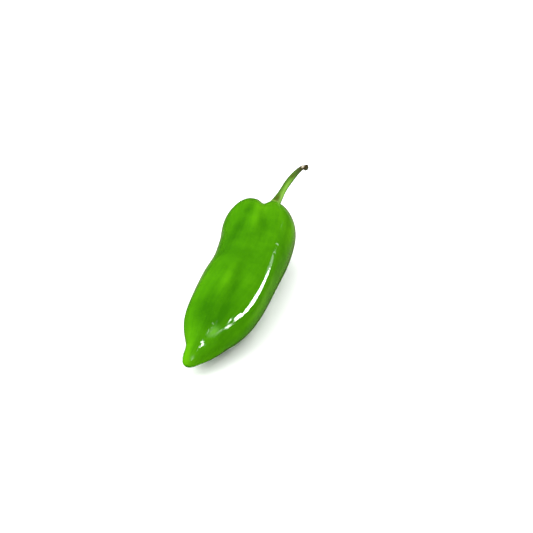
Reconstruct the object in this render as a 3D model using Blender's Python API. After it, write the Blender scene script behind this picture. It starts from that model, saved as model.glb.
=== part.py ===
"""A bull horn pepper, picked with its stem, lying on a level surface.

+Z is up. The pod lies along X, with its tip towards -X and its stem towards +X. The
origin is on the surface, in the flat spot that the pod rests on, straight under its weight.
Two pieces: the pod, and the calyx with its stem, which grew as one.

Both are built in the same way. The rings of a sphere become the rings of a profile, as on a
turned shape, and the profile follows a spine, which bends it. Lengths are in metres and
angles in degrees.
"""

import math

import bmesh
import bpy
import numpy as np

# The pod's profile, from the floor of the hollow round the stem, over the shoulder and along
# the body to the tip: distance from the shoulder's crest, radius.
POD_PROFILE = (
    (0.0085, 0.0),
    (0.0076, 0.0042),
    (0.0044, 0.008),
    (0.0012, 0.011),
    (0.0, 0.0136),
    (0.0026, 0.0173),
    (0.009, 0.0207),
    (0.02, 0.0233),
    (0.041, 0.0226),
    (0.073, 0.0214),
    (0.098, 0.0202),
    (0.117, 0.0191),
    (0.131, 0.016),
    (0.144, 0.0104),
    (0.154, 0.0058),
    (0.1586, 0.0034),
    (0.1602, 0.0016),
    (0.1604, 0.0),
)
POD_RINGS = 60
POD_SEGMENTS = 72
RING_CROWDING = 0.5  # how much closer the rings are at both ends than in the middle

# The spine through the middle of the pod: distance from the shoulder, Y, height.
POD_SPINE = (
    (0.0, 0.0069, 0.0226),
    (0.019, 0.0037, 0.0211),
    (0.041, -0.0001, 0.02),
    (0.073, -0.0026, 0.0192),
    (0.098, -0.0026, 0.019),
    (0.117, -0.0005, 0.0184),
    (0.131, 0.0019, 0.0163),
    (0.144, 0.0032, 0.0135),
    (0.155, 0.0055, 0.0117),
    (0.162, 0.0067, 0.0105),
)
SHOULDER_X = 0.067
HEIGHT_SHARE = 0.95  # the pod's height over its width

# Ridges and furrows run the length of the pod. Round the spine, 0 is at the -Y side, 90 is on
# top and 180 is at the +Y side. Each one spreads over an angle, and at a few distances from
# the shoulder it has its own angle and height, which is negative in a furrow.
FOLDS = {
    "notch": (
        11.0,
        ((0.0, 82.0, -0.0031), (0.02, 80.0, -0.001), (0.05, 76.0, -0.0002), (0.162, 76.0, 0.0)),
    ),
    "top_furrow": (
        22.0,
        ((0.0, 79.0, -0.0022), (0.05, 73.0, -0.0016), (0.085, 78.0, -0.0014), (0.112, 68.0, -0.0018),
         (0.135, 55.0, -0.0012), (0.162, 48.0, -0.0003)),
    ),
    "lobe_furrow": (
        12.0,
        ((0.0, 99.0, -0.0007), (0.03, 110.0, -0.0008), (0.055, 114.0, -0.0008), (0.08, 122.0, 0.0),
         (0.162, 122.0, 0.0)),
    ),
    "edge": (
        13.0,
        ((0.0, 46.0, 0.0), (0.03, 45.0, 0.0002), (0.06, 41.0, 0.0008), (0.085, 36.0, 0.0012),
         (0.103, 29.0, 0.0012), (0.12, 25.0, 0.001), (0.133, 32.0, 0.0006), (0.1395, 42.0, 0.0009),
         (0.145, 52.0, 0.0004), (0.151, 59.0, 0.0003), (0.158, 58.0, 0.0002), (0.162, 58.0, 0.0)),
    ),
    "minus_y_furrow": (
        30.0,
        ((0.0, -24.0, -0.0026), (0.03, -34.0, -0.0016), (0.05, -28.0, -0.0014), (0.075, -25.0, -0.0023),
         (0.095, -24.0, -0.0014), (0.162, -28.0, -0.0004)),
    ),
    "bottom_furrow": (
        30.0,
        ((0.0, 268.0, -0.0026), (0.081, 266.0, -0.001), (0.162, 268.0, -0.0003)),
    ),
    "plus_y_furrow": (
        30.0,
        ((0.0, 184.0, -0.0018), (0.081, 186.0, -0.0014), (0.162, 184.0, -0.0005)),
    ),
}
FOLD_FADE_RADIUS = 0.014  # nearer the spine than this, a fold fades away
DENT_FADE_RADIUS = 0.007  # and so does a dent

# Dents and swellings in the wall: distance from the shoulder, angle, length, breadth, and
# how far the wall goes out, or in where it is negative.
DENTS = {
    "near_tip": (0.13, 88.0, 0.012, 0.01, -0.0016),
    "waist": (0.051, 160.0, 0.017, 0.016, 0.0011),
    "crest": (0.105, 98.0, 0.016, 0.007, 0.0006),
    "flank": (0.093, 160.0, 0.022, 0.016, 0.0026),
    "underside": (0.07, 259.0, 0.026, 0.013, 0.0014),
    "tip_side": (0.15, 168.0, 0.007, 0.008, -0.0008),
    "tip_facet": (0.1472, 60.0, 0.0035, 0.0019, -0.00036),
}

DIRECTION_STEP = 0.0005  # directions are measured over twice this length
PROFILE_STEP = 0.007  # but the profile's over twice this one, so that deep folds don't cross
FLAT_SOFTNESS = 0.00035  # how high over the surface the flat spot starts to curve up

# The calyx lines the hollow, and its teeth reach up towards the shoulders. Its underside
# follows the pod's skin out to the rim, which is at these shares of the pod's profile.
CALYX_GAP = 0.0003
CALYX_RIM_SHARE = 0.052
CALYX_TOOTH_SHARE = 0.012
CALYX_THICKNESS = 0.00125
CALYX_TEETH = 6
TOOTH_SHARPNESS = 3
# From the calyx up to the end where the stem was broken off: distance along the stem's path,
# radius.
STEM_PROFILE = (
    (0.0046, 0.008),
    (0.0054, 0.006),
    (0.008, 0.0042),
    (0.013, 0.0037),
    (0.0205, 0.003),
    (0.026, 0.0023),
    (0.032, 0.0021),
    (0.038, 0.002),
    (0.0435, 0.0016),
    (0.0466, 0.0014),
    (0.0478, 0.0015),
    (0.0487, 0.0018),
    (0.0496, 0.0021),
    (0.0502, 0.002),
    (0.0504, 0.0011),
    (0.0504, 0.0),
)
STEM_RIB_DEPTH = 0.06  # share of the stem's radius
STEM_TWIST = 25.0  # the ribs turn by this much on their way to the end
# The stem's path from the floor of the hollow: X, Y, Z.
STEM_PATH = (
    (0.0, 0.0, 0.0),
    (0.006, -0.0008, 0.0014),
    (0.0115, -0.004, 0.0052),
    (0.0165, -0.0077, 0.0108),
    (0.0215, -0.0107, 0.0166),
    (0.0255, -0.0139, 0.0214),
    (0.029, -0.0174, 0.0253),
    (0.0313, -0.0202, 0.027),
    (0.033, -0.0228, 0.026),
)
STEM_SEGMENTS = 48
UNDERSIDE_RINGS = 8
RIM_RINGS = 3
RISE_RINGS = 33  # from the rim to the end
STEM_RINGS = UNDERSIDE_RINGS + RIM_RINGS + RISE_RINGS
RISE_CROWDING = 0.3
FLARE_SHARE = 0.08  # the calyx runs into the stem over this share of the rise


def smooth_through(knots, values, at):
    """Rows of values at these places, on the cubic spline through a few given rows."""
    knots = np.asarray(knots, float)
    values = np.asarray(values, float)
    steps = np.diff(knots)
    rises = np.diff(values, axis=0) / steps[:, None]
    # The slope at each knot is the one that keeps the curve's bend the same on both sides.
    slopes_of = np.zeros((len(knots), len(knots)))
    wanted = np.zeros_like(values)
    slopes_of[0, :2] = 2, 1
    wanted[0] = 3 * rises[0]
    slopes_of[-1, -2:] = 1, 2
    wanted[-1] = 3 * rises[-1]
    for i in range(1, len(knots) - 1):
        before, after = steps[i - 1], steps[i]
        slopes_of[i, i - 1 : i + 2] = after, 2 * (before + after), before
        wanted[i] = 3 * (after * rises[i - 1] + before * rises[i])
    slopes = np.linalg.solve(slopes_of, wanted)
    at = np.clip(at, knots[0], knots[-1])
    i = np.clip(np.searchsorted(knots, at, side="right") - 1, 0, len(steps) - 1)
    h = steps[i][..., None]
    u = (at - knots[i])[..., None] / h
    return (
        values[i]
        + (values[i + 1] - values[i]) * (3 * u**2 - 2 * u**3)
        + slopes[i] * h * (u**3 - 2 * u**2 + u)
        + slopes[i + 1] * h * (u**3 - u**2)
    )


def columns(rows):
    return np.moveaxis(rows, -1, 0)


def knots_of(points):
    """How far along the line through the points each of them lies."""
    steps = np.linalg.norm(np.diff(np.asarray(points, float), axis=0), axis=1)
    return np.concatenate([[0.0], np.cumsum(steps)])


def smooth_step(x):
    """0 below 0 and 1 above 1, with a soft rise between them."""
    x = np.clip(x, 0.0, 1.0)
    return x * x * (3 - 2 * x)


def unit(vectors):
    return vectors / np.linalg.norm(vectors, axis=-1, keepdims=True)


def angle_between(a, b):
    """Degrees from b to a, from -180 to 180."""
    return (a - b + 180.0) % 360.0 - 180.0


def pod_spine(distance):
    """The spine's point at each distance from the shoulder, and the directions across it."""
    table = np.array(POD_SPINE)

    def point(d):
        y, z = columns(smooth_through(table[:, 0], table[:, 1:], d))
        return np.stack([SHOULDER_X - d, y, z], -1)

    inside = np.clip(distance, table[0, 0] + DIRECTION_STEP, table[-1, 0] - DIRECTION_STEP)
    towards_stem = unit(point(inside - DIRECTION_STEP) - point(inside + DIRECTION_STEP))
    side = unit(np.cross(towards_stem, (0.0, 0.0, 1.0)))
    up = np.cross(side, towards_stem)
    return point(distance), side, up, towards_stem


def relief(distance, radius, angle):
    """How far the pod's wall stands out from its profile: ridges, furrows and dents."""
    folds = np.zeros(np.broadcast(distance, angle).shape)
    for spread, stations in FOLDS.values():
        table = np.array(stations)
        towards, rise = columns(smooth_through(table[:, 0], table[:, 1:], distance))
        folds = folds + rise * np.exp(-((angle_between(angle, towards) / spread) ** 2))
    dents = np.zeros(folds.shape)
    for place, towards, length, breadth, rise in DENTS.values():
        along = (distance - place) / length
        across = np.radians(angle_between(angle, towards)) * radius / breadth
        dents = dents + rise * np.exp(-(along**2) - across**2)
    folds = folds * smooth_step(radius / FOLD_FADE_RADIUS)
    return folds + dents * smooth_step(radius / DENT_FADE_RADIUS)


def rest_on_surface(points):
    """Presses what would be under the surface flat, with a soft edge round the flat spot."""
    z = points[..., 2]
    soft = (z + FLAT_SOFTNESS) ** 2 / (4 * FLAT_SOFTNESS)
    soft = np.where(z < -FLAT_SOFTNESS, 0.0, soft)
    points[..., 2] = np.where(z < FLAT_SOFTNESS, soft, z)
    return points


def pod_surface(share, angle):
    """Points of the pod's skin: share of the way along the profile, angle round the spine."""
    knots = knots_of(POD_PROFILE)
    at = share * knots[-1]
    distance, radius = columns(smooth_through(knots, POD_PROFILE, at))
    before = smooth_through(knots, POD_PROFILE, at - PROFILE_STEP)
    after = smooth_through(knots, POD_PROFILE, at + PROFILE_STEP)
    along, outward = columns(unit(after - before))
    height = relief(distance, radius, angle)
    distance = distance - outward * height
    radius = radius + along * height
    centre, side, up, _ = pod_spine(distance)
    turn = np.radians(angle)[..., None]
    across = np.cos(turn) * side + HEIGHT_SHARE * np.sin(turn) * up
    return rest_on_surface(centre + radius[..., None] * across)


def crowded(share, crowding):
    """Spreads shares from 0 to 1 so that they lie closer together at both ends."""
    return share - crowding * np.sin(2 * math.pi * share) / (2 * math.pi)


def calyx_rim(angle):
    """The share of the pod's profile that the calyx's rim reaches, longer at its teeth."""
    tooth = np.abs(np.cos(np.radians(angle) * CALYX_TEETH / 2)) ** TOOTH_SHARPNESS
    return CALYX_RIM_SHARE + CALYX_TOOTH_SHARE * tooth


def calyx_surface(ring, angle):
    """The calyx's underside, on the pod's skin, and its rim."""
    _, _, _, axis = pod_spine(np.array(0.0))
    out = np.clip(ring / UNDERSIDE_RINGS, 0, 1)
    lift = CALYX_GAP + CALYX_THICKNESS * smooth_step((ring - UNDERSIDE_RINGS) / RIM_RINGS)
    return pod_surface(calyx_rim(angle) * out, angle) + lift[..., None] * axis


def stem_path(along):
    """The stem's middle at each distance from the hollow's floor, and directions across it."""
    floor, side, _, axis = pod_spine(np.array(POD_PROFILE[0][0]))
    knots = knots_of(STEM_PATH)

    def point(d):
        return floor + smooth_through(knots, STEM_PATH, d)

    inside = np.clip(along, knots[0] + DIRECTION_STEP, knots[-1] - DIRECTION_STEP)
    tangent = unit(point(inside + DIRECTION_STEP) - point(inside - DIRECTION_STEP))
    # Each ring is turned from the first one by the least turn that faces it along the path.
    hinge = np.cross(np.broadcast_to(axis, tangent.shape), tangent)
    cosine = (tangent @ axis)[..., None]
    turned = cosine * side + np.cross(hinge, np.broadcast_to(side, tangent.shape))
    turned = turned + hinge * (hinge @ side)[..., None] / (1 + cosine)
    return point(along), turned, np.cross(turned, tangent)


def stalk_surface(rise, angle):
    """The ribbed stem, from its flared foot to the end."""
    knots = knots_of(STEM_PROFILE)
    at = crowded(rise, RISE_CROWDING) * knots[-1]
    along, radius = columns(smooth_through(knots, STEM_PROFILE, at))
    ribs = np.cos(np.radians(angle - STEM_TWIST * rise) * CALYX_TEETH)
    radius = radius * (1 + STEM_RIB_DEPTH * ribs)
    centre, side, up = stem_path(along)
    turn = np.radians(angle)[..., None]
    return centre + radius[..., None] * (np.cos(turn) * side + np.sin(turn) * up)


def stem_surface(share, angle):
    """Points of the calyx and the stem, from the broken end to the middle of the underside."""
    ring = (1 - share) * STEM_RINGS
    rise = np.clip((ring - UNDERSIDE_RINGS - RIM_RINGS) / RISE_RINGS, 0, 1)
    calyx = calyx_surface(ring, angle)
    onto_stem = smooth_step(rise / FLARE_SHARE)[..., None]
    return calyx + (stalk_surface(rise, angle) - calyx) * onto_stem


def shaped_sphere(name, rings, segments, surface, crowding):
    """An object whose faces are a sphere's, each vertex placed by the surface function."""
    bm = bmesh.new()
    bmesh.ops.create_uvsphere(bm, u_segments=segments, v_segments=rings, radius=1.0)
    bm.verts.ensure_lookup_table()
    start = np.array([v.co for v in bm.verts])
    # The sphere's lower pole starts the profile and its upper pole ends it.
    share = 1 - np.arccos(np.clip(start[:, 2], -1, 1)) / math.pi
    angle = np.degrees(np.arctan2(start[:, 1], start[:, 0]))
    placed = surface(crowded(share, crowding), angle)
    for vertex, point in zip(bm.verts, placed):
        vertex.co = point
    mesh = bpy.data.meshes.new(name)
    bm.to_mesh(mesh)
    bm.free()
    mesh.shade_smooth()
    return bpy.data.objects.new(name, mesh)


def finish(name, colour, roughness):
    """A plain material for one piece."""
    material = bpy.data.materials.new(name)
    material.use_nodes = True
    shader = material.node_tree.nodes["Principled BSDF"]
    shader.inputs["Base Color"].default_value = (*colour, 1.0)
    shader.inputs["Roughness"].default_value = roughness
    shader.inputs["Metallic"].default_value = 0.0
    return material


def main():
    for obj in list(bpy.data.objects):
        bpy.data.objects.remove(obj)
    pepper = bpy.data.collections.new("bull_horn_pepper")
    bpy.context.scene.collection.children.link(pepper)
    pod = shaped_sphere("pod", POD_RINGS, POD_SEGMENTS, pod_surface, RING_CROWDING)
    pod.data.materials.append(finish("pod_skin", (0.09, 0.38, 0.006), 0.25))
    stem = shaped_sphere("stem_and_calyx", STEM_RINGS, STEM_SEGMENTS, stem_surface, 0.0)
    stem.data.materials.append(finish("stem_green", (0.16, 0.36, 0.05), 0.55))
    for obj in (pod, stem):
        pepper.objects.link(obj)


main()
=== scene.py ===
"""A bull horn pepper on a white table, in soft light, with a long bright lamp beside it.

The two pieces follow the same formulas as the solids that they stand for, with finer rings,
fine swellings of the skin, fibres on the stem, and numbers at each vertex that the materials
read.
"""

import math

import bpy
import numpy as np
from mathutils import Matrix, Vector, noise


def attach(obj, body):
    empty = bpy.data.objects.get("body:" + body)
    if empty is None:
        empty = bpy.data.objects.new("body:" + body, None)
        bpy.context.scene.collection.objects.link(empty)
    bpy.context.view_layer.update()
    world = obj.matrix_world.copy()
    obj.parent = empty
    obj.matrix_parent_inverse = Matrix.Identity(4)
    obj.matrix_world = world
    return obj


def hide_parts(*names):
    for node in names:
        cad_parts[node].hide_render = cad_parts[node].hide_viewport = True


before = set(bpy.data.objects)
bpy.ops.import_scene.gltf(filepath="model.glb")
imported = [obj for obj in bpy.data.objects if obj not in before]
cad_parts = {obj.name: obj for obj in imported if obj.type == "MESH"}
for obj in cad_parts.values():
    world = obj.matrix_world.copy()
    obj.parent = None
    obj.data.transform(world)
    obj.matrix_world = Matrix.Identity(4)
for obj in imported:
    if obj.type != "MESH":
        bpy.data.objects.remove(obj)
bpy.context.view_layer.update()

# The pod's profile, from the floor of the hollow round the stem, over the shoulder and along
# the body to the tip: distance from the shoulder's crest, radius.
POD_PROFILE = (
    (0.0085, 0.0),
    (0.0076, 0.0042),
    (0.0044, 0.008),
    (0.0012, 0.011),
    (0.0, 0.0136),
    (0.0026, 0.0173),
    (0.009, 0.0207),
    (0.02, 0.0233),
    (0.041, 0.0226),
    (0.073, 0.0214),
    (0.098, 0.0202),
    (0.117, 0.0191),
    (0.131, 0.016),
    (0.144, 0.0104),
    (0.154, 0.0058),
    (0.1586, 0.0034),
    (0.1602, 0.0016),
    (0.1604, 0.0),
)
POD_RINGS = 260
POD_SEGMENTS = 300
RING_CROWDING = 0.5  # how much closer the rings are at both ends than in the middle

# The spine through the middle of the pod: distance from the shoulder, Y, height.
POD_SPINE = (
    (0.0, 0.0069, 0.0226),
    (0.019, 0.0037, 0.0211),
    (0.041, -0.0001, 0.02),
    (0.073, -0.0026, 0.0192),
    (0.098, -0.0026, 0.019),
    (0.117, -0.0005, 0.0184),
    (0.131, 0.0019, 0.0163),
    (0.144, 0.0032, 0.0135),
    (0.155, 0.0055, 0.0117),
    (0.162, 0.0067, 0.0105),
)
SHOULDER_X = 0.067
HEIGHT_SHARE = 0.95  # the pod's height over its width

# Ridges and furrows run the length of the pod. Round the spine, 0 is at the -Y side, 90 is on
# top and 180 is at the +Y side. Each one spreads over an angle, and at a few distances from
# the shoulder it has its own angle and height, which is negative in a furrow.
FOLDS = {
    "notch": (
        11.0,
        ((0.0, 82.0, -0.0031), (0.02, 80.0, -0.001), (0.05, 76.0, -0.0002), (0.162, 76.0, 0.0)),
    ),
    "top_furrow": (
        22.0,
        ((0.0, 79.0, -0.0022), (0.05, 73.0, -0.0016), (0.085, 78.0, -0.0014), (0.112, 68.0, -0.0018),
         (0.135, 55.0, -0.0012), (0.162, 48.0, -0.0003)),
    ),
    "lobe_furrow": (
        12.0,
        ((0.0, 99.0, -0.0007), (0.03, 110.0, -0.0008), (0.055, 114.0, -0.0008), (0.08, 122.0, 0.0),
         (0.162, 122.0, 0.0)),
    ),
    "edge": (
        13.0,
        ((0.0, 46.0, 0.0), (0.03, 45.0, 0.0002), (0.06, 41.0, 0.0008), (0.085, 36.0, 0.0012),
         (0.103, 29.0, 0.0012), (0.12, 25.0, 0.001), (0.133, 32.0, 0.0006), (0.1395, 42.0, 0.0009),
         (0.145, 52.0, 0.0004), (0.151, 59.0, 0.0003), (0.158, 58.0, 0.0002), (0.162, 58.0, 0.0)),
    ),
    "minus_y_furrow": (
        30.0,
        ((0.0, -24.0, -0.0026), (0.03, -34.0, -0.0016), (0.05, -28.0, -0.0014), (0.075, -25.0, -0.0023),
         (0.095, -24.0, -0.0014), (0.162, -28.0, -0.0004)),
    ),
    "bottom_furrow": (
        30.0,
        ((0.0, 268.0, -0.0026), (0.081, 266.0, -0.001), (0.162, 268.0, -0.0003)),
    ),
    "plus_y_furrow": (
        30.0,
        ((0.0, 184.0, -0.0018), (0.081, 186.0, -0.0014), (0.162, 184.0, -0.0005)),
    ),
}
FOLD_FADE_RADIUS = 0.014  # nearer the spine than this, a fold fades away
DENT_FADE_RADIUS = 0.007  # and so does a dent

# Dents and swellings in the wall: distance from the shoulder, angle, length, breadth, and
# how far the wall goes out, or in where it is negative.
DENTS = {
    "near_tip": (0.13, 88.0, 0.012, 0.01, -0.0016),
    "waist": (0.051, 160.0, 0.017, 0.016, 0.0011),
    "crest": (0.105, 98.0, 0.016, 0.007, 0.0006),
    "flank": (0.093, 160.0, 0.022, 0.016, 0.0026),
    "underside": (0.07, 259.0, 0.026, 0.013, 0.0014),
    "tip_side": (0.15, 168.0, 0.007, 0.008, -0.0008),
    "tip_facet": (0.1472, 60.0, 0.0035, 0.0019, -0.00036),
}

DIRECTION_STEP = 0.0005  # directions are measured over twice this length
PROFILE_STEP = 0.007  # but the profile's over twice this one, so that deep folds don't cross
FLAT_SOFTNESS = 0.00035  # how high over the surface the flat spot starts to curve up

# The calyx lines the hollow, and its teeth reach up towards the shoulders. Its underside
# follows the pod's skin out to the rim, which is at these shares of the pod's profile.
CALYX_GAP = 0.0003
CALYX_RIM_SHARE = 0.052
CALYX_TOOTH_SHARE = 0.012
CALYX_THICKNESS = 0.00125
CALYX_TEETH = 6
TOOTH_SHARPNESS = 3
# From the calyx up to the end where the stem was broken off: distance along the stem's path,
# radius.
STEM_PROFILE = (
    (0.0046, 0.008),
    (0.0054, 0.006),
    (0.008, 0.0042),
    (0.013, 0.0037),
    (0.0205, 0.003),
    (0.026, 0.0023),
    (0.032, 0.0021),
    (0.038, 0.002),
    (0.0435, 0.0016),
    (0.0466, 0.0014),
    (0.0478, 0.0015),
    (0.0487, 0.0018),
    (0.0496, 0.0021),
    (0.0502, 0.002),
    (0.0504, 0.0011),
    (0.0504, 0.0),
)
STEM_RIB_DEPTH = 0.06  # share of the stem's radius
STEM_TWIST = 25.0  # the ribs turn by this much on their way to the end
# The stem's path from the floor of the hollow: X, Y, Z.
STEM_PATH = (
    (0.0, 0.0, 0.0),
    (0.006, -0.0008, 0.0014),
    (0.0115, -0.004, 0.0052),
    (0.0165, -0.0077, 0.0108),
    (0.0215, -0.0107, 0.0166),
    (0.0255, -0.0139, 0.0214),
    (0.029, -0.0174, 0.0253),
    (0.0313, -0.0202, 0.027),
    (0.033, -0.0228, 0.026),
)
STEM_SEGMENTS = 144
UNDERSIDE_RINGS = 24
RIM_RINGS = 9
RISE_RINGS = 150  # from the rim to the end
STEM_RINGS = UNDERSIDE_RINGS + RIM_RINGS + RISE_RINGS
RISE_CROWDING = 0.3
FLARE_SHARE = 0.08  # the calyx runs into the stem over this share of the rise

# Fine swellings of the skin: how long they are round the pod and along it, and their height.
# They only go inwards from the formula's surface, like the small pits further down.
LUMPS = {
    "broad": (0.011, 0.02, 0.00008),
    "fine": (0.0036, 0.008, 0.00003),
    "creases": (0.0016, 0.03, 0.00002),
}
LUMP_TOP = 0.6  # noise rarely rises over this
SKIN_RADIUS = 0.02  # creases run as on a straight pod of this radius

# Paler and darker stripes along the skin, all but the tip's painted light, shade and reflection. Each
# one spreads over an angle, and at a few distances from the shoulder it has its own angle and how
# much paler it is.
STRIPES = {
    # Painted light: the ridge is paler where it faces the light.
    "painted_light_on_ridge": (
        6.0,
        ((0.0, 90.0, 0.4), (0.02, 90.0, 1.0), (0.035, 91.0, 0.8), (0.05, 93.0, 0.4),
         (0.066, 94.0, 0.1), (0.09, 94.0, 0.2), (0.108, 90.0, 0.6), (0.13, 86.0, 0.0),
         (0.162, 86.0, 0.0)),
    ),
    # Painted shade on the lobe's flank that faces away from the light.
    "painted_shade_left_of_ridge": (
        8.0,
        ((0.0, 102.0, 0.0), (0.024, 101.0, -0.45), (0.04, 110.0, -0.4), (0.058, 118.0, -0.2),
         (0.075, 124.0, 0.0), (0.162, 126.0, 0.0)),
    ),
    # Painted shade in the groove between the lobes.
    "painted_shade_in_groove": (
        9.0,
        ((0.0, 79.0, 0.0), (0.03, 78.0, -0.1), (0.051, 75.0, -0.5), (0.066, 78.0, -0.1),
         (0.09, 81.0, -0.3), (0.104, 77.0, -0.55), (0.114, 68.0, -0.7), (0.124, 62.0, -0.7),
         (0.135, 55.0, -0.6), (0.15, 50.0, 0.0), (0.162, 50.0, 0.0)),
    ),
    # Painted reflection: a pale band of table light along the side wall.
    "painted_reflection_band": (
        8.0,
        ((0.0, 20.0, 0.3), (0.03, 25.0, 1.0), (0.045, 25.0, 0.9), (0.06, 23.0, 0.0),
         (0.085, 22.0, 0.2), (0.1, 17.0, 0.6), (0.112, 10.0, 0.6), (0.125, 6.0, 0.3),
         (0.14, 5.0, 0.0), (0.162, 5.0, 0.0)),
    ),
    "tip_ridge": (
        18.0,
        ((0.0, 103.0, 0.0), (0.125, 103.0, 0.0), (0.14, 106.0, 0.0), (0.15, 108.0, 0.0),
         (0.162, 98.0, 1.4)),
    ),
}
# Paler and darker patches: distance from the shoulder, angle, length, spread, how much paler.
# Many of them are painted shade, light and sheen, as marked.
PATCHES = {
    # Painted shade on the left lobe, which faces away from the light.
    "painted_shade_left_lobe": (0.057, 118.0, 0.017, 17.0, -0.8),
    "left_shoulder": (0.018, 108.0, 0.008, 8.0, 0.3),
    # Painted light in the notch between the lobes, against its shade.
    "painted_light_between_lobes": (0.022, 80.0, 0.01, 7.0, 0.7),
    # Painted sheen on the right shoulder and lobe.
    "painted_sheen_right_shoulder": (0.02, 60.0, 0.014, 22.0, 0.4),
    "painted_gleam_right_lobe": (0.036, 44.0, 0.011, 12.0, 0.6),
    "waist": (0.088, 118.0, 0.014, 16.0, 0.1),
    "flank": (0.114, 118.0, 0.012, 24.0, 0.2),
    # Painted highlight on the crest.
    "crest": (0.1113, 88.0, 0.006, 7.0, 0.35),
    "above_the_dent": (0.1236, 51.5, 0.008, 10.0, -0.4),
    "over_the_waist": (0.0749, 127.5, 0.01, 14.0, -0.5),
    "over_the_ridge": (0.0611, 93.0, 0.008, 8.0, -0.4),
    # Painted shade in the dent near the tip.
    "painted_shade_in_dent": (0.13, 96.0, 0.009, 26.0, -1.2),
    "by_the_edge": (0.137, 64.0, 0.008, 22.0, -0.6),
    # Painted highlight: a pale glow round a highlight near the tip.
    "painted_glow_spot": (0.1405, 54.0, 0.0034, 12.0, 2.0),
    "by_the_tip_ridge": (0.15, 78.0, 0.006, 16.0, -0.5),
    # Painted shade on the side near the tip, which faces away from the light.
    "painted_shade_side_near_tip": (0.146, 20.0, 0.012, 32.0, -0.9),
    "tip_end": (0.161, 90.0, 0.004, 60.0, 0.8),
    # Painted shade under the tip, where it meets the table.
    "painted_shade_under_tip": (0.1605, 290.0, 0.003, 50.0, -2.0),
}
# From here on the skin gets paler towards the tip, and at its end by this much.
TIP_PALER_FROM = 0.12
TIP_PALER = 0.5

# Where the skin is pitted like orange peel: distance from the shoulder, angle, length, spread.
PITTED = (
    (0.1404, 55.0, 0.0032, 14.0),
    (0.137, 63.0, 0.003, 10.0),
    (0.1535, 57.0, 0.0022, 16.0),
    (0.064, 43.0, 0.002, 8.0),
    (0.079, 42.0, 0.008, 7.0),
)
# Where the gloss is hazy: distance from the shoulder, angle, length, spread.
HAZY = (
    (0.1398, 50.0, 0.0034, 13.0),
    (0.1428, 58.0, 0.0022, 7.0),
    (0.1573, 60.0, 0.0016, 18.0),
)
# Small pits that catch the light: distance from the shoulder, angle, radius, depth.
PITS = (
    (0.0595, 45.0, 0.0009, 0.0002),
    (0.0691, 43.0, 0.0008, 0.00018),
)

# The skin's colours where it is darker by 1, where it is neither, and where it is paler by 1.
SKIN_DARK = (0.0225, 0.125, 0.0009)
SKIN_MIDDLE = (0.0435, 0.193, 0.0013)
SKIN_PALE = (0.073, 0.271, 0.002)
# Textures over the skin: noise scale, detail, roughness, and how much paler or darker they go.
BLOTCHES = (75.0, 3.0, 0.55, 0.35)
SKIN_LINES = (700.0, 2.0, 0.5, 0.12)
SKIN_GRAIN = (900.0, 2.0, 0.5, 0.08)
LINE_STRETCH = (1.0, 1.0, 0.07)
NOISE_RANGE = (0.3, 0.7)  # where most of the noise lies
DOT_SCALE = 520.0
DOT_EDGES = (0.05, 0.16)  # a dot is full inside the first and gone outside the second
DOT_STRENGTH = 0.35
SKIN_ROUGHNESS = (0.3, 0.4)
SKIN_BUMP_SCALE = 1100.0
SKIN_BUMP = (0.12, 0.0002)  # strength, depth
# The clear gloss over it is smooth, rougher where it is hazy, and bumpy where it is pitted.
GLOSS_IOR = 1.25
GLOSS_ROUGHNESS = (0.06, 0.32)
HAZE_EDGES = (0.15, 0.9)  # the haze starts at the first and is full at the second
GLOSS_BUMP_SCALE = 700.0
GLOSS_BUMP_STRENGTH = (0.02, 1.0)  # outside the pitted places, and inside them
GLOSS_BUMP_DEPTH = 0.0001

# The stem's colour at these distances along its path.
STEM_COLOURS = (
    (0.0, (0.0571, 0.143, 0.0143)),
    (0.009, (0.0714, 0.171, 0.0143)),
    (0.018, (0.0893, 0.207, 0.0157)),
    (0.028, (0.0893, 0.229, 0.0157)),
    (0.038, (0.0679, 0.171, 0.0129)),
    (0.0435, (0.0536, 0.0964, 0.0143)),
    (0.0456, (0.046, 0.042, 0.009)),
    (0.0475, (0.048, 0.033, 0.006)),
    (0.0485, (0.034, 0.023, 0.002)),
    (0.0504, (0.037, 0.029, 0.003)),
)
# Patches on the stem: distance along its path, angle, length, spread; and their colours. The
# light ones are painted light and the dark ones painted shade.
STEM_PATCHES = {
    # Painted light: the stem's lit middle and the lit rim of its foot.
    "light": (
        (0.0225, 40.0, 0.006, 22.0),
        (0.031, 48.0, 0.007, 24.0),
        (0.0187, 70.0, 0.0008, 70.0),
    ),
    "olive": ((0.0215, 82.0, 0.0028, 32.0), (0.0385, 75.0, 0.002, 25.0)),
    "cream": ((0.0469, 62.0, 0.0008, 30.0),),
    "grey": ((0.0492, -20.0, 0.0012, 40.0),),
    # Painted shade along the stem's sides.
    "painted_stem_shade": (
        (0.032, 124.0, 0.02, 20.0),
        (0.034, -48.0, 0.018, 22.0),
        (0.019, -20.0, 0.006, 26.0),
    ),
}
STEM_PATCH_COLOURS = {
    # Painted light.
    "light": (0.27, 0.56, 0.055),
    "olive": (0.065, 0.088, 0.003),
    "cream": (0.75, 0.68, 0.47),
    "grey": (0.0571, 0.0643, 0.0286),
    # Painted shade.
    "painted_stem_shade": (0.045, 0.105, 0.0095),
}
STEM_PATCH_EDGES = (0.1, 1.0)  # its colour starts at the first and is strongest at the second
STEM_PATCH_STRENGTH = 0.9
COLOUR_WANDER = 0.0006  # the stem's colours mix over this distance to both sides
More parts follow.
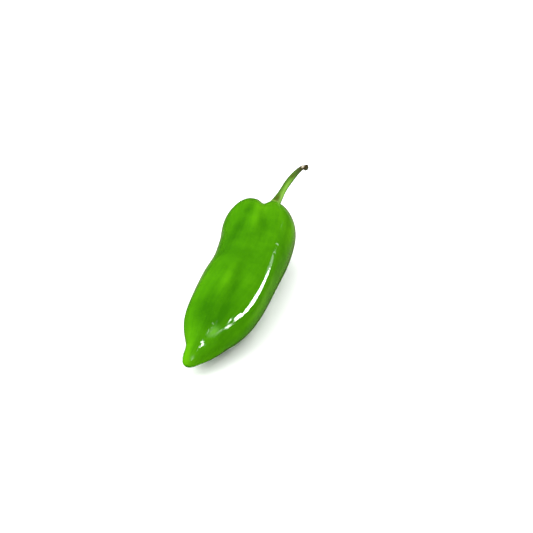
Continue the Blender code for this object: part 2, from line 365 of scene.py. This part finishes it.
# How the stem is tinted between its ribs, as painted shade, and along its fibres, from where to where,
# how much.
PAINTED_FURROW_SHADE = (0.45, 0.4, 0.75)
FURROW_EDGES = (-1.0, 0.2)
FURROW_STRENGTH = 0.35
FIBRE_TINT = (0.34, 0.3, 0.64)
FIBRE_EDGES = (0.35, 0.65)
FIBRE_STRENGTH = 0.25
FIBRE_NOISE = (2.2, 3.0, 0.6)  # scale, detail, roughness
FIBRE_STRETCH = (1.0, 1.0, 0.5)
FIBRE_BUMP = (0.4, 0.0001)  # strength, depth
STEM_ROUGHNESS = (0.45, 0.6)
STEM_SHINE = 0.02  # how strongly it mirrors light
# The fibres in the stem's shape: their depth as a share of its radius, and their length.
FIBRE_DEPTH = 0.05
FIBRE_LENGTH = 0.006
RADIUS_IN_FIBRES = 3.5  # the stem's radius, in breadths of a fibre
# The dry end is crumpled: from where, fully so how much further on, and its radius there. Its
# depth is a share of the radius too.
END_FROM = 0.0474
END_SOFTNESS = 0.001
END_RADIUS = 0.002
END_DEPTH = 0.22
END_GRAIN = 0.0009

FLOOR_SIZE = 6.0
FLOOR_COLOUR = (0.9, 0.9, 0.9)
FLOOR_ROUGHNESS = 0.8

# The camera looks down at the pod from beyond its tip.
CAMERA_AZIMUTH = -76.0
CAMERA_ELEVATION = 27.5
CAMERA_DISTANCE = 0.72
CAMERA_AIM = (-0.0038, -0.0142, 0.026)
LENS_MM = 85.0

# The soft light from all round: the azimuth and elevation that it's strongest at, its strength
# there, and its strength at the other side.
SKY_WAY = (180.0, 60.0)
SKY_STRONG = 2.8
SKY_WEAK = 0.42
SKY_COSINES = (-0.35, 1.0)  # of the angle to the strongest, from weak to strong
# What the gloss mirrors: a little from all round, and more from three places low beyond the
# stem. For these, the azimuth and elevation, the cosines where it starts and is full, strength.
GLOSS_COLOUR = (1.0, 0.84, 0.6)
GLOSS_ALL_ROUND = 0.02
GLOSS_FROM = (
    ((62.0, -32.0), (0.92, 0.99), 0.16),
    ((85.0, -13.0), (0.955, 0.99), 0.34),
    ((114.0, -25.0), (0.945, 0.99), 0.23),
)

# Lamps: azimuth, elevation, width and height in degrees as the pepper sees them, brightness.
LAMP_DISTANCE = 3.0
KEY_LAMP = (-140.0, 50.0, 48.0, 48.0, 1.05)
# The lamps that only show in the gloss.
GLOSS_LAMPS = {
    "strip": (24.5, 26.0, 61.0, 21.0, 115.0),
    "strip_end": (-2.5, 39.0, 13.0, 18.0, 115.0),
    "strip_far": (62.0, 25.0, 14.0, 9.0, 6.0),
    "spot": (-18.0, 57.5, 5.4, 7.0, 80.0),
    "spot_glow": (-17.0, 57.0, 12.0, 12.0, 5.0),
    "tip_gleam": (-43.0, 37.0, 14.0, 14.0, 18.0),
}


def smooth_through(knots, values, at):
    """Rows of values at these places, on the cubic spline through a few given rows."""
    knots = np.asarray(knots, float)
    values = np.asarray(values, float)
    steps = np.diff(knots)
    rises = np.diff(values, axis=0) / steps[:, None]
    # The slope at each knot is the one that keeps the curve's bend the same on both sides.
    slopes_of = np.zeros((len(knots), len(knots)))
    wanted = np.zeros_like(values)
    slopes_of[0, :2] = 2, 1
    wanted[0] = 3 * rises[0]
    slopes_of[-1, -2:] = 1, 2
    wanted[-1] = 3 * rises[-1]
    for i in range(1, len(knots) - 1):
        before, after = steps[i - 1], steps[i]
        slopes_of[i, i - 1 : i + 2] = after, 2 * (before + after), before
        wanted[i] = 3 * (after * rises[i - 1] + before * rises[i])
    slopes = np.linalg.solve(slopes_of, wanted)
    at = np.clip(at, knots[0], knots[-1])
    i = np.clip(np.searchsorted(knots, at, side="right") - 1, 0, len(steps) - 1)
    h = steps[i][..., None]
    u = (at - knots[i])[..., None] / h
    return (
        values[i]
        + (values[i + 1] - values[i]) * (3 * u**2 - 2 * u**3)
        + slopes[i] * h * (u**3 - 2 * u**2 + u)
        + slopes[i + 1] * h * (u**3 - u**2)
    )


def columns(rows):
    return np.moveaxis(rows, -1, 0)


def knots_of(points):
    """How far along the line through the points each of them lies."""
    steps = np.linalg.norm(np.diff(np.asarray(points, float), axis=0), axis=1)
    return np.concatenate([[0.0], np.cumsum(steps)])


def smooth_step(x):
    """0 below 0 and 1 above 1, with a soft rise between them."""
    x = np.clip(x, 0.0, 1.0)
    return x * x * (3 - 2 * x)


def unit(vectors):
    return vectors / np.linalg.norm(vectors, axis=-1, keepdims=True)


def angle_between(a, b):
    """Degrees from b to a, from -180 to 180."""
    return (a - b + 180.0) % 360.0 - 180.0


def pod_spine(distance):
    """The spine's point at each distance from the shoulder, and the directions across it."""
    table = np.array(POD_SPINE)

    def point(d):
        y, z = columns(smooth_through(table[:, 0], table[:, 1:], d))
        return np.stack([SHOULDER_X - d, y, z], -1)

    inside = np.clip(distance, table[0, 0] + DIRECTION_STEP, table[-1, 0] - DIRECTION_STEP)
    towards_stem = unit(point(inside - DIRECTION_STEP) - point(inside + DIRECTION_STEP))
    side = unit(np.cross(towards_stem, (0.0, 0.0, 1.0)))
    up = np.cross(side, towards_stem)
    return point(distance), side, up, towards_stem


def relief(distance, radius, angle):
    """How far the pod's wall stands out from its profile: ridges, furrows and dents."""
    folds = np.zeros(np.broadcast(distance, angle).shape)
    for spread, stations in FOLDS.values():
        table = np.array(stations)
        towards, rise = columns(smooth_through(table[:, 0], table[:, 1:], distance))
        folds = folds + rise * np.exp(-((angle_between(angle, towards) / spread) ** 2))
    dents = np.zeros(folds.shape)
    for place, towards, length, breadth, rise in DENTS.values():
        along = (distance - place) / length
        across = np.radians(angle_between(angle, towards)) * radius / breadth
        dents = dents + rise * np.exp(-(along**2) - across**2)
    folds = folds * smooth_step(radius / FOLD_FADE_RADIUS)
    return folds + dents * smooth_step(radius / DENT_FADE_RADIUS)


def rest_on_surface(points):
    """Presses what would be under the surface flat, with a soft edge round the flat spot."""
    z = points[..., 2]
    soft = (z + FLAT_SOFTNESS) ** 2 / (4 * FLAT_SOFTNESS)
    soft = np.where(z < -FLAT_SOFTNESS, 0.0, soft)
    points[..., 2] = np.where(z < FLAT_SOFTNESS, soft, z)
    return points


def pod_profile(share):
    """The distance from the shoulder and the radius, this share of the way along the profile."""
    knots = knots_of(POD_PROFILE)
    return columns(smooth_through(knots, POD_PROFILE, share * knots[-1]))


def pod_surface(share, angle):
    """Points of the pod's skin: share of the way along the profile, angle round the spine."""
    knots = knots_of(POD_PROFILE)
    at = share * knots[-1]
    distance, radius = pod_profile(share)
    before = smooth_through(knots, POD_PROFILE, at - PROFILE_STEP)
    after = smooth_through(knots, POD_PROFILE, at + PROFILE_STEP)
    along, outward = columns(unit(after - before))
    height = relief(distance, radius, angle) + lumps(distance, radius, angle)
    distance = distance - outward * height
    radius = radius + along * height
    centre, side, up, _ = pod_spine(distance)
    turn = np.radians(angle)[..., None]
    across = np.cos(turn) * side + HEIGHT_SHARE * np.sin(turn) * up
    return rest_on_surface(centre + radius[..., None] * across)


def crowded(share, crowding):
    """Spreads shares from 0 to 1 so that they lie closer together at both ends."""
    return share - crowding * np.sin(2 * math.pi * share) / (2 * math.pi)


def calyx_rim(angle):
    """The share of the pod's profile that the calyx's rim reaches, longer at its teeth."""
    tooth = np.abs(np.cos(np.radians(angle) * CALYX_TEETH / 2)) ** TOOTH_SHARPNESS
    return CALYX_RIM_SHARE + CALYX_TOOTH_SHARE * tooth


def calyx_surface(ring, angle):
    """The calyx's underside, on the pod's skin, and its rim."""
    _, _, _, axis = pod_spine(np.array(0.0))
    out = np.clip(ring / UNDERSIDE_RINGS, 0, 1)
    lift = CALYX_GAP + CALYX_THICKNESS * smooth_step((ring - UNDERSIDE_RINGS) / RIM_RINGS)
    return pod_surface(calyx_rim(angle) * out, angle) + lift[..., None] * axis


def stem_path(along):
    """The stem's middle at each distance from the hollow's floor, and directions across it."""
    floor, side, _, axis = pod_spine(np.array(POD_PROFILE[0][0]))
    knots = knots_of(STEM_PATH)

    def point(d):
        return floor + smooth_through(knots, STEM_PATH, d)

    inside = np.clip(along, knots[0] + DIRECTION_STEP, knots[-1] - DIRECTION_STEP)
    tangent = unit(point(inside + DIRECTION_STEP) - point(inside - DIRECTION_STEP))
    # Each ring is turned from the first one by the least turn that faces it along the path.
    hinge = np.cross(np.broadcast_to(axis, tangent.shape), tangent)
    cosine = (tangent @ axis)[..., None]
    turned = cosine * side + np.cross(hinge, np.broadcast_to(side, tangent.shape))
    turned = turned + hinge * (hinge @ side)[..., None] / (1 + cosine)
    return point(along), turned, np.cross(turned, tangent)


def stem_profile(rise):
    """The distance along the stem's path and the radius, this share of the way up."""
    knots = knots_of(STEM_PROFILE)
    at = crowded(rise, RISE_CROWDING) * knots[-1]
    return columns(smooth_through(knots, STEM_PROFILE, at))


def stem_ribs(rise, angle):
    """1 on the ribs and -1 between them."""
    return np.cos(np.radians(angle - STEM_TWIST * rise) * CALYX_TEETH)


def stalk_surface(rise, angle):
    """The ribbed stem, from its flared foot to the end."""
    along, radius = stem_profile(rise)
    radius = radius * (1 + STEM_RIB_DEPTH * stem_ribs(rise, angle) - bark(along, rise, angle))
    centre, side, up = stem_path(along)
    turn = np.radians(angle)[..., None]
    return centre + radius[..., None] * (np.cos(turn) * side + np.sin(turn) * up)


def stem_ring(share):
    """The ring, counted from the middle of the underside, and its share of the way up."""
    ring = (1 - share) * STEM_RINGS
    return ring, np.clip((ring - UNDERSIDE_RINGS - RIM_RINGS) / RISE_RINGS, 0, 1)


def stem_surface(share, angle):
    """Points of the calyx and the stem, from the broken end to the middle of the underside."""
    ring, rise = stem_ring(share)
    calyx = calyx_surface(ring, angle)
    onto_stem = smooth_step(rise / FLARE_SHARE)[..., None]
    return calyx + (stalk_surface(rise, angle) - calyx) * onto_stem


def noise_at(points, size):
    """Smooth noise from about -1 to 1 at each point. The size may differ along each axis."""
    rows = (points / np.asarray(size)).reshape(-1, 3)
    values = [noise.noise(Vector(row)) for row in rows]
    return np.reshape(values, points.shape[:-1])


def around_axis(distance, radius, angle):
    """The points of a straight pod or stem: across, up, along."""
    turn = np.radians(angle)
    return np.stack(np.broadcast_arrays(radius * np.cos(turn), radius * np.sin(turn), distance), -1)


def lumps(distance, radius, angle):
    """The skin's fine swellings, between its surface and a little under it."""
    straight = around_axis(distance, radius, angle)
    fibres = around_axis(distance, SKIN_RADIUS, angle)
    height = np.zeros(straight.shape[:-1])
    for name, (across, along, rise) in LUMPS.items():
        space = fibres if name == "creases" else straight
        under_top = np.minimum(noise_at(space, (across, across, along)) - LUMP_TOP, 0.0)
        height = height + rise * under_top
    for place, towards, size, depth in PITS:
        across = np.radians(angle_between(angle, towards)) * radius
        height = height - depth * np.exp(-((distance - place) ** 2 + across**2) / size**2)
    return height


def stem_fibres(along, rise, angle):
    """The points of a straight stem, one unit to a fibre, twisted like the ribs."""
    return around_axis(along / FIBRE_LENGTH, RADIUS_IN_FIBRES, angle - STEM_TWIST * rise)


def bark(along, rise, angle):
    """How far the stem's fibres and its crumpled end go in, as a share of its radius."""
    depth = FIBRE_DEPTH * (1 - noise_at(stem_fibres(along, rise, angle), 1.0)) / 2
    crumpled = smooth_step((along - END_FROM) / END_SOFTNESS)
    crumbs = around_axis(along, END_RADIUS, angle)
    return depth + crumpled * END_DEPTH * (1 - noise_at(crumbs, END_GRAIN)) / 2


def patch(at, angle, place, towards, length, spread):
    """1 in the middle of a patch, fading to 0 round it."""
    return np.exp(-(((at - place) / length) ** 2) - (angle_between(angle, towards) / spread) ** 2)


def paleness_and_painted_light(distance, angle):
    """How much paler or darker than its middle colour the skin is, painted light and shade included."""
    tip = POD_PROFILE[-1][0]
    pale = TIP_PALER * smooth_step((distance - TIP_PALER_FROM) / (tip - TIP_PALER_FROM))
    for spread, stations in STRIPES.values():
        table = np.array(stations)
        towards, amount = columns(smooth_through(table[:, 0], table[:, 1:], distance))
        pale = pale + amount * np.exp(-((angle_between(angle, towards) / spread) ** 2))
    for place, towards, length, spread, amount in PATCHES.values():
        pale = pale + amount * patch(distance, angle, place, towards, length, spread)
    return pale


def ring_object(name, rings, segments, surface, crowding):
    """A closed mesh of rings from pole to pole, and each vertex's share and angle."""
    share = crowded(np.arange(rings + 1) / rings, crowding)
    angle = np.arange(segments) * 360.0 / segments - 180.0
    shares = np.concatenate([share[:1], np.repeat(share[1:-1], segments), share[-1:]])
    angles = np.concatenate([[0.0], np.tile(angle, rings - 1), [0.0]])
    last = len(shares) - 1
    faces = []
    for low in range(1, last - segments, segments):
        for k in range(segments):
            after = (k + 1) % segments
            faces.append((low + k, low + after, low + segments + after, low + segments + k))
    for k in range(segments):
        after = (k + 1) % segments
        faces.append((0, 1 + after, 1 + k))
        faces.append((last, last - segments + k, last - segments + after))
    mesh = bpy.data.meshes.new(name)
    mesh.from_pydata(surface(shares, angles).tolist(), [], faces)
    mesh.shade_smooth()
    piece = bpy.data.objects.new(name, mesh)
    bpy.context.scene.collection.objects.link(piece)
    return piece, shares, angles


def store(piece, name, values):
    """Keeps a number or a vector for each vertex, for the materials to read."""
    values = np.asarray(values, np.float32)
    kind, key = ("FLOAT_VECTOR", "vector") if values.ndim == 2 else ("FLOAT", "value")
    attribute = piece.data.attributes.new(name, kind, "POINT")
    attribute.data.foreach_set(key, values.ravel())


def add_pod():
    pod, share, angle = ring_object("pod_fine", POD_RINGS, POD_SEGMENTS, pod_surface, RING_CROWDING)
    distance, radius = pod_profile(share)
    store(pod, "pale", paleness_and_painted_light(distance, angle))
    store(pod, "pitted", sum(patch(distance, angle, *place) for place in PITTED))
    store(pod, "hazy", sum(patch(distance, angle, *place) for place in HAZY))
    store(pod, "straight", around_axis(distance, radius, angle))
    store(pod, "fibres", around_axis(distance, SKIN_RADIUS, angle))
    pod.data.materials.append(skin())
    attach(pod, "root")
    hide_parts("pod")


def add_stem():
    stem, share, angle = ring_object("stem_fine", STEM_RINGS, STEM_SEGMENTS, stem_surface, 0.0)
    _, rise = stem_ring(share)
    along, _ = stem_profile(rise)
    along = np.where(rise > 0, along, 0.0)
    store(stem, "along", along)
    store(stem, "rib", stem_ribs(rise, angle))
    store(stem, "fibres", stem_fibres(along, rise, angle))
    for name, patches in STEM_PATCHES.items():
        store(stem, name, sum(patch(along, angle, *place) for place in patches))
    stem.data.materials.append(stem_green())
    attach(stem, "root")
    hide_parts("stem_and_calyx")


RANGE_SOCKETS = ("From Min", "From Max", "To Min", "To Max")


class Net:
    """A material whose nodes are put together one by one."""

    def __init__(self, name):
        self.material = bpy.data.materials.new(name)
        self.material.use_nodes = True
        self.nodes = self.material.node_tree.nodes
        self.shader = self.nodes["Principled BSDF"]

    def feed(self, socket, value):
        """Links a socket to another one, or sets its value."""
        if isinstance(value, bpy.types.NodeSocket):
            self.material.node_tree.links.new(value, socket)
        else:
            socket.default_value = value

    def set(self, **values):
        for name, value in values.items():
            self.feed(self.shader.inputs[name.replace("_", " ")], value)

    def attribute(self, name, output="Fac"):
        node = self.nodes.new("ShaderNodeAttribute")
        node.attribute_name = name
        return node.outputs[output]

    def stretched(self, vector, scale):
        node = self.nodes.new("ShaderNodeVectorMath")
        node.operation = "MULTIPLY"
        self.feed(node.inputs[0], vector)
        self.feed(node.inputs[1], scale)
        return node.outputs[0]

    def noise(self, vector, scale, detail=2.0, roughness=0.5):
        """Noise from 0 to 1, about 0.5 on average."""
        node = self.nodes.new("ShaderNodeTexNoise")
        self.feed(node.inputs["Vector"], vector)
        self.feed(node.inputs["Scale"], scale)
        self.feed(node.inputs["Detail"], detail)
        self.feed(node.inputs["Roughness"], roughness)
        return node.outputs["Fac"]

    def dots(self, vector, scale):
        """The distance to the nearest of many scattered points, in cells."""
        node = self.nodes.new("ShaderNodeTexVoronoi")
        self.feed(node.inputs["Vector"], vector)
        self.feed(node.inputs["Scale"], scale)
        return node.outputs["Distance"]

    def between(self, value, low, high, to_low=0.0, to_high=1.0):
        """Moves a value from one range to another, and keeps it in that one."""
        node = self.nodes.new("ShaderNodeMapRange")
        self.feed(node.inputs["Value"], value)
        for name, number in zip(RANGE_SOCKETS, (low, high, to_low, to_high)):
            self.feed(node.inputs[name], number)
        return node.outputs["Result"]

    def maths(self, operation, first, second):
        node = self.nodes.new("ShaderNodeMath")
        node.operation = operation
        self.feed(node.inputs[0], first)
        self.feed(node.inputs[1], second)
        return node.outputs[0]

    def mix(self, amount, first, second, blend="MIX"):
        node = self.nodes.new("ShaderNodeMix")
        node.data_type = "RGBA"
        node.blend_type = blend
        # The node has sockets of every kind, and these are the ones for colours.
        for index, value in ((0, amount), (6, first), (7, second)):
            is_colour = isinstance(value, tuple)
            self.feed(node.inputs[index], (*value, 1.0) if is_colour else value)
        return node.outputs[2]

    def ramp(self, value, stops):
        node = self.nodes.new("ShaderNodeValToRGB")
        self.feed(node.inputs[0], value)
        elements = node.color_ramp.elements
        for place, colour in stops[1:-1]:
            elements.new(place).color = (*colour, 1.0)
        for i in (0, -1):
            elements[i].position = stops[i][0]
            elements[i].color = (*stops[i][1], 1.0)
        return node.outputs[0]

    def bump(self, height, strength, depth):
        node = self.nodes.new("ShaderNodeBump")
        self.feed(node.inputs["Height"], height)
        self.feed(node.inputs["Strength"], strength)
        self.feed(node.inputs["Distance"], depth)
        return node.outputs[0]


def skin():
    """Waxy green skin: blotches, fine lines along the pod, tiny pale dots, painted light and shade, and
    a clear gloss.
    """
    net = Net("pod_skin")
    straight = net.attribute("straight", "Vector")
    fibres = net.attribute("fibres", "Vector")

    def texture(space, scale, detail, roughness, reach):
        texture_noise = net.noise(space, scale, detail, roughness)
        return net.between(texture_noise, *NOISE_RANGE, -reach, reach)

    blotches = texture(straight, *BLOTCHES)
    lines = texture(net.stretched(fibres, LINE_STRETCH), *SKIN_LINES)
    grain = texture(straight, *SKIN_GRAIN)
    pale = net.attribute("pale")
    for part in (blotches, lines, grain):
        pale = net.maths("ADD", pale, part)
    share = net.between(pale, -1.0, 1.0)
    colour = net.ramp(share, ((0.0, SKIN_DARK), (0.5, SKIN_MIDDLE), (1.0, SKIN_PALE)))
    dots = net.between(net.dots(straight, DOT_SCALE), *DOT_EDGES, DOT_STRENGTH, 0.0)
    colour = net.mix(dots, colour, SKIN_PALE)
    pitted = net.between(net.attribute("pitted"), 0.0, 1.0, *GLOSS_BUMP_STRENGTH)
    gloss_noise = net.noise(straight, GLOSS_BUMP_SCALE, detail=1.0)
    net.set(
        Base_Color=colour,
        Roughness=net.between(blotches, -BLOTCHES[-1], BLOTCHES[-1], *SKIN_ROUGHNESS),
        Specular_IOR_Level=0.0,
        Coat_Weight=1.0,
        Coat_Roughness=net.between(net.attribute("hazy"), *HAZE_EDGES, *GLOSS_ROUGHNESS),
        Coat_IOR=GLOSS_IOR,
        Normal=net.bump(net.noise(straight, SKIN_BUMP_SCALE), *SKIN_BUMP),
        Coat_Normal=net.bump(gloss_noise, pitted, GLOSS_BUMP_DEPTH),
    )
    return net.material


def stem_green():
    """A fibrous green stem that ends brown and dry, with painted light and shade on it."""
    net = Net("stem_green")
    fibres = net.attribute("fibres", "Vector")
    along = net.attribute("along")
    length = STEM_COLOURS[-1][0]
    lines = net.noise(net.stretched(fibres, FIBRE_STRETCH), *FIBRE_NOISE)
    wander = net.between(lines, *NOISE_RANGE, -COLOUR_WANDER, COLOUR_WANDER)
    place = net.between(net.maths("ADD", along, wander), 0.0, length)
    colour = net.ramp(place, tuple((at / length, colour) for at, colour in STEM_COLOURS))
    for name, paint in STEM_PATCH_COLOURS.items():
        amount = net.between(net.attribute(name), *STEM_PATCH_EDGES, 0.0, STEM_PATCH_STRENGTH)
        colour = net.mix(amount, colour, paint)
    # Painted shade between the ribs.
    painted_furrow_shade = net.between(net.attribute("rib"), *FURROW_EDGES, FURROW_STRENGTH, 0.0)
    colour = net.mix(painted_furrow_shade, colour, PAINTED_FURROW_SHADE, "MULTIPLY")
    between_fibres = net.between(lines, *FIBRE_EDGES, FIBRE_STRENGTH, 0.0)
    colour = net.mix(between_fibres, colour, FIBRE_TINT, "MULTIPLY")
    net.set(
        Base_Color=colour,
        Roughness=net.between(lines, *NOISE_RANGE, *STEM_ROUGHNESS),
        Specular_IOR_Level=STEM_SHINE,
        Normal=net.bump(lines, *FIBRE_BUMP),
    )
    return net.material


def direction(azimuth, elevation):
    """From the pepper towards a place seen at this azimuth, round from -Y towards +X."""
    a, e = math.radians(azimuth), math.radians(elevation)
    return Vector((math.sin(a) * math.cos(e), -math.cos(a) * math.cos(e), math.sin(e)))


def look_along(obj, way):
    obj.rotation_mode = "QUATERNION"
    obj.rotation_quaternion = way.to_track_quat("-Z", "Y")


def add_camera():
    data = bpy.data.cameras.new("camera")
    data.lens = LENS_MM
    camera = bpy.data.objects.new("camera", data)
    away = direction(CAMERA_AZIMUTH, CAMERA_ELEVATION)
    camera.location = Vector(CAMERA_AIM) + away * CAMERA_DISTANCE
    look_along(camera, -away)
    bpy.context.scene.collection.objects.link(camera)
    bpy.context.scene.camera = camera


def add_lamp(name, azimuth, elevation, width, height, brightness, in_gloss):
    """A lamp that either lights the surfaces or shows in their gloss."""
    data = bpy.data.lights.new(name, "AREA")
    data.shape = "ELLIPSE"
    data.size = 2 * LAMP_DISTANCE * math.tan(math.radians(width / 2))
    data.size_y = 2 * LAMP_DISTANCE * math.tan(math.radians(height / 2))
    data.energy = brightness * math.pi * (math.pi / 4 * data.size * data.size_y)
    lamp = bpy.data.objects.new(name, data)
    way = direction(azimuth, elevation)
    lamp.location = way * LAMP_DISTANCE
    look_along(lamp, -way)
    lamp.visible_camera = False
    lamp.visible_glossy = in_gloss
    lamp.visible_diffuse = not in_gloss
    bpy.context.scene.collection.objects.link(lamp)


def add_floor():
    """A white table that the gloss doesn't mirror."""
    net = Net("floor")
    net.set(Base_Color=(*FLOOR_COLOUR, 1.0), Roughness=FLOOR_ROUGHNESS, Specular_IOR_Level=0.0)
    bpy.ops.mesh.primitive_plane_add(size=FLOOR_SIZE)
    floor = bpy.context.object
    floor.name = "floor"
    floor.data.materials.append(net.material)
    floor.visible_glossy = False


def add_sky():
    """Soft white light, strongest from one side. The gloss mirrors a dim light instead."""
    world = bpy.data.worlds.new("world")
    world.use_nodes = True
    tree = world.node_tree
    way = tree.nodes.new("ShaderNodeTexCoord")

    def strength(towards, cosines, low, high):
        cosine = tree.nodes.new("ShaderNodeVectorMath")
        cosine.operation = "DOT_PRODUCT"
        tree.links.new(way.outputs["Generated"], cosine.inputs[0])
        cosine.inputs[1].default_value = direction(*towards)
        node = tree.nodes.new("ShaderNodeMapRange")
        for name, value in zip(RANGE_SOCKETS, (*cosines, low, high)):
            node.inputs[name].default_value = value
        tree.links.new(cosine.outputs["Value"], node.inputs["Value"])
        return node.outputs["Result"]

    light = tree.nodes["Background"]
    mirrored = tree.nodes.new("ShaderNodeBackground")
    light.inputs["Color"].default_value = (1.0, 1.0, 1.0, 1.0)
    mirrored.inputs["Color"].default_value = (*GLOSS_COLOUR, 1.0)
    tree.links.new(strength(SKY_WAY, SKY_COSINES, SKY_WEAK, SKY_STRONG), light.inputs["Strength"])
    total = tree.nodes.new("ShaderNodeValue").outputs[0]
    total.default_value = GLOSS_ALL_ROUND
    for towards, cosines, full in GLOSS_FROM:
        add = tree.nodes.new("ShaderNodeMath")
        tree.links.new(strength(towards, cosines, 0.0, full), add.inputs[0])
        tree.links.new(total, add.inputs[1])
        total = add.outputs[0]
    tree.links.new(total, mirrored.inputs["Strength"])
    choice = tree.nodes.new("ShaderNodeMixShader")
    rays = tree.nodes.new("ShaderNodeLightPath")
    tree.links.new(rays.outputs["Is Glossy Ray"], choice.inputs[0])
    tree.links.new(light.outputs[0], choice.inputs[1])
    tree.links.new(mirrored.outputs[0], choice.inputs[2])
    tree.links.new(choice.outputs[0], tree.nodes["World Output"].inputs["Surface"])
    bpy.context.scene.world = world


def add_lamps():
    add_lamp("key", *KEY_LAMP, in_gloss=False)
    for name, values in GLOSS_LAMPS.items():
        add_lamp(name, *values, in_gloss=True)


add_pod()
add_stem()
add_floor()
add_sky()
add_lamps()
add_camera()
bpy.context.scene.view_settings.view_transform = "Standard"
